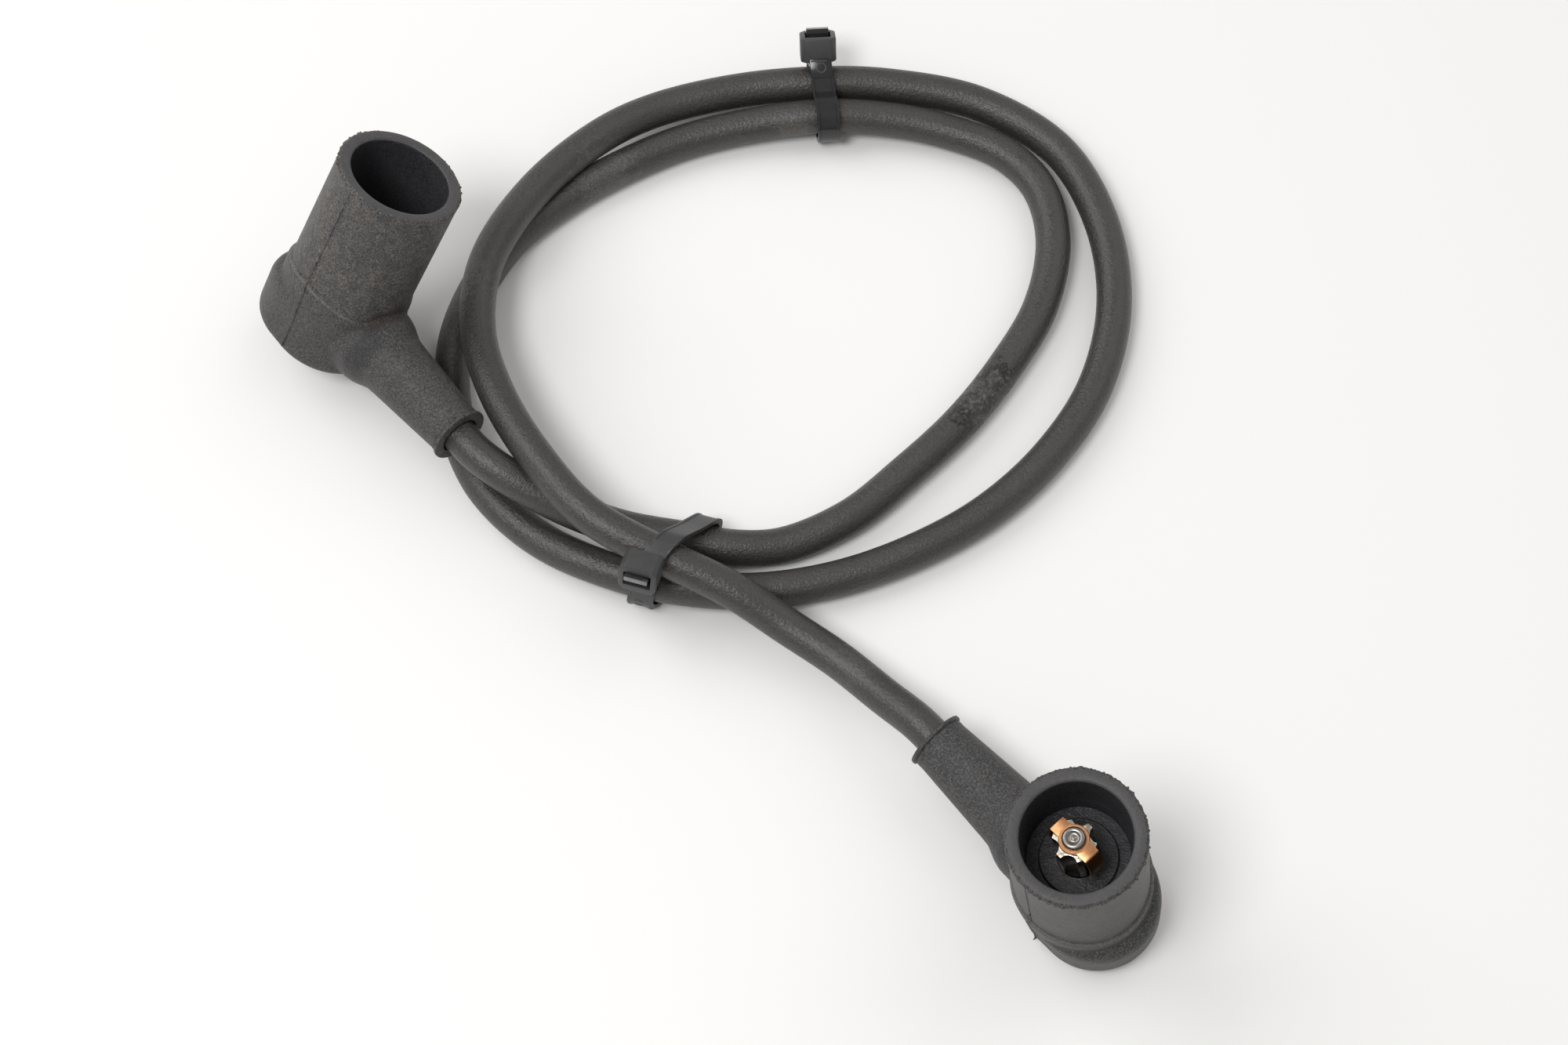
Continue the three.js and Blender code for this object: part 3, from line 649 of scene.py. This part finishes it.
boot_paints = [
    boot_finish(
        "boot_rubber", (0.020, 0.020, 0.0212), (0.046, 0.045, 0.0462), (0.185, 0.18, 0.178),
        speck_share=0.48, dust_share=1.0, roughness=0.44, relief=1.0,
    ),
    boot_finish(
        "rim_rubber", (0.050, 0.050, 0.054), (0.074, 0.072, 0.075), (0.13, 0.122, 0.115),
        speck_share=0.2, dust_share=0.3, roughness=0.42, relief=0.3,
    ),
    # The bore's rubber is smoother than the outside. Its darker, bluer tones are painted shade for the inside
    # of the deep cup.
    boot_finish(
        "bore_rubber_painted_shade", (0.016, 0.0165, 0.0205), (0.029, 0.0295, 0.035), (0.075, 0.068, 0.064),
        speck_share=0.3, dust_share=0.12, roughness=0.28, relief=0.4,
    ),
]
outer_finish, rim_finish, shaded_bore_finish = range(3)


def painted(mesh, index_of):
    """Gives every face the finish that index_of picks by its centre, in millimetres."""
    for paint in boot_paints:
        mesh.materials.append(paint)
    for face in mesh.polygons:
        face.material_index = index_of(face.center / mm)
    return mesh


painted(boot_outside, lambda centre: outer_finish)
for end, boot in boot_places.items():
    floor_at = rim_height - boot["depth"]
    cable_tool = cable_bore_form()
    cable_tool.transform(along_sleeve)
    tools = [
        painted(mesh_from("cutter", tool), index_of)
        for tool, index_of in (
            (bore_form(floor_at), lambda centre: rim_finish if centre.z > 34.9 else shaded_bore_finish),
            (stem_form(floor_at), lambda centre: shaded_bore_finish),
            (cable_tool, lambda centre: shaded_bore_finish),
        )
    ]
    skin = cut(boot_outside.copy(), tools)
    body = bmesh.new()
    body.from_mesh(skin)
    flash_seed = {"a": 7, "b": 11}[end]
    join_into(body, flash_form(flash_seed))
    bpy.data.meshes.remove(skin)
    made = object_from(f"moulded_boot_{end}", body, crease=math.radians(40))
    kept = made.data.attributes.new("on_boot", "FLOAT_VECTOR", "POINT")
    for vert in made.data.vertices:
        kept.data[vert.index].vector = vert.co / mm
    made.data.transform(place_of(boot))
    for paint in boot_paints:
        made.data.materials.append(paint)
    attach(made, "root")
    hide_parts(f"boot_{end}")

# The contact: a tinned six-eared star, pressed from sheet with deep flutes between its ears, with a
# bent copper strip over it and an eyelet rivet through both. It stands on the terminal's round foot.
ear_radius = 3.85


def contact_place(boot):
    floor_at = rim_height - boot["depth"]
    return (
        place_of(boot)
        @ Matrix.Translation((0, 0, floor_at * mm))
        @ Matrix.Rotation(math.radians(4), 4, "Y")
    )


def bevel_edges(body, edges, width, segments=2):
    bmesh.ops.bevel(
        body, geom=edges, offset=width, offset_type="OFFSET", affect="EDGES", segments=segments,
        profile=0.5, material=-1,
    )


def sheet_form(outline, way, bevel):
    """A flat outline of points drawn out along way, with its edges broken, in millimetres."""
    body = bmesh.new()
    face = body.faces.new([body.verts.new((x * mm, y * mm, z * mm)) for x, y, z in outline])
    made = bmesh.ops.extrude_face_region(body, geom=[face])
    moved = [v for v in made["geom"] if isinstance(v, bmesh.types.BMVert)]
    bmesh.ops.translate(body, verts=moved, vec=[step * mm for step in way])
    bmesh.ops.recalc_face_normals(body, faces=body.faces)
    sharp = math.radians(30)
    edges = [edge for edge in body.edges if edge.is_manifold and edge.calc_face_angle(0) > sharp]
    bevel_edges(body, edges, bevel * mm)
    return body


def star_form():
    outline = []
    half_ear, flute_depth, flute_steps = 0.55 / ear_radius, 1.15, 12
    low, height = 0.57, 8.68
    pitch = math.pi / 3
    for ear in range(6):
        middle = pitch * (ear + 0.5)
        for angle in (middle - half_ear, middle + half_ear):
            outline.append((ear_radius, angle))
        for step in range(1, flute_steps):
            share = step / flute_steps
            depth = flute_depth * math.sqrt(math.sin(math.pi * share))
            outline.append((ear_radius - depth, middle + half_ear + (pitch - 2 * half_ear) * share))
    points = [(radius * math.cos(angle), radius * math.sin(angle), low) for radius, angle in outline]
    return sheet_form(points, (0, 0, height), 0.12)


def strip_form():
    low, high, half_width = 9.55, 10.0, 1.55
    inner, outer = ear_radius + 0.3, ear_radius + 0.75
    end = low - 7.6
    side = []
    for step in range(9):
        share = step / 8
        bow = 4 * 0.6 * share * (1 - share)
        side.append((bow, low - 0.6 + (end - low + 0.6) * share))
    right_out = [(outer + bow, h) for bow, h in side]
    right_in = [(inner + bow, h) for bow, h in reversed(side)]
    half = [(0, high), (inner - 0.6, high), (outer - 0.35, high - 0.12), (outer - 0.1, high - 0.4)]
    outline = half + right_out + right_in + [(inner - 0.15, low - 0.2), (inner - 0.6, low), (0, low)]
    left = [(-x, h) for x, h in reversed(outline) if x > 0]
    points = [(x, -half_width, h) for x, h in outline + left]
    body = sheet_form(points, (0, 2 * half_width, 0), 0.08)
    washer = [(1.2, 9.6), (2.6, 9.6), (2.7, 9.7), (2.7, 9.9), (2.6, 10.02), (1.2, 10.04), (1.2, 9.6)]
    join_into(body, spun(washer, steps=64))
    return body


def rivet_form():
    return spun(
        [
            (0, 7), (1, 7), (1, 10.3), (1.95, 10.3), (2.05, 10.42), (2.05, 10.62), (1.9, 10.85),
            (1.62, 10.98), (1.4, 11), (1.22, 10.93), (1.12, 10.78), (0.98, 10.6), (0.8, 10.52),
            (0.6, 10.5), (0.45, 10.56), (0.3, 10.68), (0.15, 10.72), (0, 10.73),
        ],
        steps=64,
    )


def metal(name, color, roughness, dull):
    """Pressed metal: clouded colour, patchy gloss and fine drawing lines."""
    paint, tree, shader = new_material(name, color, roughness, 1.0)
    where = add_node(tree, "ShaderNodeTexCoord").outputs["Object"]
    cloud = noise_at(tree, where, 420.0, 5.0, 0.65)
    share = add_node(tree, "ShaderNodeMapRange", Value=cloud, From_Min=0.35, From_Max=0.7)
    tree.links.new(color_mix(tree, share.outputs[0], color, dull), shader.inputs["Base Color"])
    low, high = roughness - 0.12, roughness + 0.16
    gloss = add_node(tree, "ShaderNodeMapRange", Value=cloud, To_Min=low, To_Max=high)
    tree.links.new(gloss.outputs[0], shader.inputs["Roughness"])
    give_relief(tree, shader, noise_at(tree, where, 3780.0, 3.0), 0.25, 0.00004)
    return paint


tinned_paint = metal("tinned_brass", (0.62, 0.58, 0.50), 0.2, dull=(0.30, 0.25, 0.18))
copper_paint = metal("copper_strip", (0.72, 0.36, 0.17), 0.3, dull=(0.40, 0.19, 0.09))
eyelet_paint = metal("eyelet_steel", (0.33, 0.31, 0.29), 0.3, dull=(0.19, 0.17, 0.15))
# the terminal's brass is painted near black: painted shade for the inside of the boot
terminal_shade_paint = metal("terminal_brass", (0.013, 0.011, 0.008), 0.5, dull=(0.005, 0.0045, 0.004))
for end, boot in boot_places.items():
    for name, form, paint, slot in (
        ("contact_body", star_form, tinned_paint, "contact_tinned"),
        ("contact_strip", strip_form, copper_paint, "strip_copper"),
        ("contact_rivet", rivet_form, eyelet_paint, "rivet_tinned"),
    ):
        body = form()
        body.transform(contact_place(boot))
        made = object_from(f"{name}_made_{end}", body)
        made.data.materials.append(paint)
        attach(made, "root")
        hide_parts(f"{name}_{end}")

# The crimp terminals: plain brass barrels inside the boots, of which only the round foot under the contact
# shows. The CAD solid has their shape and takes a metal finish here. Its brass is darkened to near black as
# painted shade for the dark inside of the boot.
for end in boot_places:
    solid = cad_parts[f"crimp_terminal_{end}"]
    if not solid.material_slots:
        solid.data.materials.append(terminal_shade_paint)
    for held in solid.material_slots:
        held.material = terminal_shade_paint

# The cable ties: moulded nylon straps, each looped round its strands, through its own head and cut
# short. One pawl in the head holds the strap's teeth.
strap_width = 4.5
strap_thickness = 1.1
strap_slack = 0.75
head_tone, strap_tone, cut_tone = range(3)
# strands and middle: the cable's strands and the tie's head, across and up. slot: the way through the
# head. root and tail: where on the loop, round strand number "on", the strap leaves for the head. mark:
# the mould's ring mark. slew: how much the loop runs aslant. sag: how much its free lengths give.
tie_places = {
    "top": dict(
        at=(25, 104.9), heading=3, slew=-0.08, strands=((-3.9, 5.4), (3.9, 5.4)), middle=(8.8, 11.5),
        slot=52, on=1, root=104, tail=20, sag=1.15, mark=(3.74, 11.39, 122.6), finish=strap_tone,
    ),
    "bottom": dict(
        at=(-4, 2.5), heading=-16, slew=0.4, strands=((-4.2, 5.4), (5.7, 5.4), (-2.1, 13.4)), middle=(-8, 18),
        slot=161, on=2, root=166, tail=86, sag=0.15, mark=(-9.39, 5.58, 178), finish=head_tone,
    ),
}
head_width, head_length, head_depth, head_chamfer = 7.2, 6.3, 4.95, 1


def loop_line(strands, radius, sag):
    """Points round the strands at that distance, sagging a little on the way from one to the next."""
    middle = sum((Vector(s) for s in strands), Vector((0, 0))) / len(strands)
    around = sorted(strands, key=lambda s: math.atan2(s[1] - middle.y, s[0] - middle.x))
    line = []
    for i, (x, y) in enumerate(around):
        before, after = around[i - 1], around[(i + 1) % len(around)]
        start = math.atan2(y - before[1], x - before[0]) - math.pi / 2
        stop = math.atan2(after[1] - y, after[0] - x) - math.pi / 2
        while stop < start:
            stop += 2 * math.pi
        count = max(3, round((stop - start) * 10))
        for k in range(count + 1):
            angle = start + (stop - start) * k / count
            line.append((x + radius * math.cos(angle), y + radius * math.sin(angle)))
        here = Vector(line[-1])
        there = Vector(after) + radius * Vector((math.cos(stop), math.sin(stop)))
        inward = -Vector((math.cos(stop), math.sin(stop)))
        for k in range(1, 8):
            line.append(tuple(here.lerp(there, k / 8) + inward * sag * math.sin(math.pi * k / 8) ** 2))
    return line


def tie_form(tie):
    """Drawn with x across the strands, y up and z along them, in millimetres."""
    inner = cable_diameter / mm / 2 + strap_slack
    slew = tie["slew"]
    body = bmesh.new()
    inside = loop_line(tie["strands"], inner, tie["sag"])
    outside = loop_line(tie["strands"], inner + strap_thickness, tie["sag"])
    rings = []
    half = strap_width / 2
    rail = (
        (0.06, -half), (0.94, -half), (1, -half + 0.07), (1, -half + 0.5), (0.86, -half + 0.62),
        (0.86, half - 0.62), (1, half - 0.5), (1, half - 0.07), (0.94, half), (0.06, half), (0, half - 0.1),
        (0, -half + 0.1),
    )
    for (xi, yi), (xo, yo) in zip(inside, outside):
        ring = []
        for out, across in rail:
            x, y = xi + (xo - xi) * out, yi + (yo - yi) * out
            ring.append(body.verts.new((x, y, slew * x + across)))
        rings.append(ring)
    for a, b in zip(rings, rings[1:] + rings[:1]):
        for k in range(len(rail)):
            nxt = (k + 1) % len(rail)
            body.faces.new((a[k], a[nxt], b[nxt], b[k]))
    bmesh.ops.recalc_face_normals(body, faces=body.faces)
    for face in body.faces:
        face.material_index = tie["finish"]
    x, y = tie["middle"]
    place = Matrix.Translation((x, y, slew * x)) @ Matrix.Rotation(math.radians(tie["slot"]), 4, "Z")

    def box(low, high, bevel, matrix=place):
        part = bmesh.new()
        bmesh.ops.create_cube(part, size=1)
        size = Vector(high) - Vector(low)
        bmesh.ops.scale(part, verts=part.verts, vec=size)
        bmesh.ops.translate(part, verts=part.verts, vec=(Vector(high) + Vector(low)) / 2)
        bevel_edges(part, part.edges[:], bevel)
        part.transform(matrix)
        part.normal_update()
        return part

    block = bmesh.new()
    bmesh.ops.create_cube(block, size=1)
    bmesh.ops.scale(block, verts=block.verts, vec=(head_depth, head_length, head_width))
    uprights = [e for e in block.edges if abs((e.verts[0].co - e.verts[1].co).x) > head_depth / 2]
    bevel_edges(block, uprights, head_chamfer, segments=1)
    bevel_edges(block, [edge for edge in block.edges if edge.calc_face_angle(0) > math.radians(30)], 0.3)
    block.transform(place)
    slot_half = 1.7
    hollow = box((-3.5, -slot_half, -2.6), (3.5, slot_half, 2.6), 0.15)
    head_mesh = cut(mesh_from("block", block), [mesh_from("hollow", hollow)])
    body.from_mesh(head_mesh)
    bpy.data.meshes.remove(head_mesh)
    tail_low = -slot_half + 0.175
    tail_end = 3.52
    tail = box((-3.5, tail_low, -half), (tail_end, tail_low + strap_thickness, half), 0.12)
    way_out = math.radians(tie["slot"])
    for face in tail.faces:
        facing = face.normal.dot(Vector((math.cos(way_out), math.sin(way_out), 0)))
        face.material_index = cut_tone if facing > 0.9 else strap_tone
    join_into(body, tail)
    pawl = box((-1.9, -0.3, -1.6), (1.7, 0.62, 1.6), 0.15, place @ Matrix.Translation((0.1, 0.8, 0)))
    teeth = [box((1.35, 0.1 + 0.42 * k, -1.55), (1.95, 0.32 + 0.42 * k, 1.55), 0.06) for k in range(3)]
    gate_mark = box((-2.45, 3.05, -1.7), (-1.75, 3.5, 1.7), 0.14)
    for part in (pawl, *teeth, gate_mark):
        join_into(body, part)
    x, y, angle = tie["mark"]
    ring = [(0.78, -0.1), (0.8, 0.01), (0.88, 0.05), (0.96, 0.05), (1.04, 0.01), (1.06, -0.1), (0.78, -0.1)]
    mark = spun(ring, steps=40)
    mark.transform(
        Matrix.Translation((x, y, slew * x))
        @ Matrix.Rotation(math.radians(angle), 4, "Z")
        @ Matrix.Rotation(math.pi / 2, 4, "Y")
        @ Matrix.Scale(1 / mm, 4)
    )
    join_into(body, mark)

    def on_loop(angle):
        x, y = tie["strands"][tie["on"]]
        reach = inner + strap_thickness / 2
        return Vector((x + reach * math.cos(math.radians(angle)), y + reach * math.sin(math.radians(angle))))

    def band(start, stop):
        way = stop - start
        length = way.length + 0.5
        turn = Matrix.Translation((start.x, start.y, 0)) @ Matrix.Rotation(math.atan2(way.y, way.x), 4, "Z")
        shear = Matrix.Identity(4)
        shear[2][0] = slew
        part = box(
            (-0.3, -strap_thickness / 2, -half), (length, strap_thickness / 2, half), 0.2, shear @ turn
        )
        for face in part.faces:
            face.material_index = tie["finish"]
        join_into(body, part)

    root = (place @ Vector((strap_thickness / 2 - head_depth / 2, head_length / 2 - 0.3, 0))).to_2d()
    entry = (place @ Vector((-head_depth / 2 - 0.6, tail_low + strap_thickness / 2, 0))).to_2d()
    band(root, on_loop(tie["root"]))
    band(entry, on_loop(tie["tail"]))
    # from the drawing's axes to the row's: across, up, along becomes along, across, up
    stand = Matrix(((0, 0, 1, 0), (1, 0, 0, 0), (0, 1, 0, 0), (0, 0, 0, 1)))
    body.transform(
        Matrix.Translation((tie["at"][0] * mm, tie["at"][1] * mm, 0))
        @ Matrix.Rotation(math.radians(tie["heading"]), 4, "Z")
        @ Matrix.Scale(mm, 4)
        @ stand
    )
    return body


def nylon(name, low_tone, high_tone, smooth, rough):
    """Moulded nylon: nearly one tone, with a patchy gloss and a faint flow texture."""
    paint, tree, shader = new_material(name, low_tone, rough)
    where = add_node(tree, "ShaderNodeTexCoord").outputs["Object"]
    cloud = noise_at(tree, where, 300.0, 5.0, 0.65)
    tree.links.new(color_mix(tree, cloud, low_tone, high_tone), shader.inputs["Base Color"])
    gloss = math_node(tree, "MULTIPLY_ADD", cloud, rough - smooth, smooth)
    tree.links.new(gloss, shader.inputs["Roughness"])
    give_relief(tree, shader, noise_at(tree, where, 1500.0, 3.0), 0.3, 0.00005)
    return paint


nylon_paints = [
    nylon("tie_nylon", (0.032, 0.032, 0.034), (0.060, 0.060, 0.062), smooth=0.34, rough=0.5),
    nylon("strap_nylon", (0.010, 0.010, 0.011), (0.024, 0.024, 0.026), smooth=0.08, rough=0.3),
    nylon("cut_nylon", (0.08, 0.08, 0.083), (0.30, 0.30, 0.31), smooth=0.1, rough=0.3),
]
for name, tie in tie_places.items():
    made = object_from(f"nylon_tie_{name}", tie_form(tie), crease=math.radians(32))
    for paint in nylon_paints:
        made.data.materials.append(paint)
    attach(made, "root")
    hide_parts(f"cable_tie_{name}")
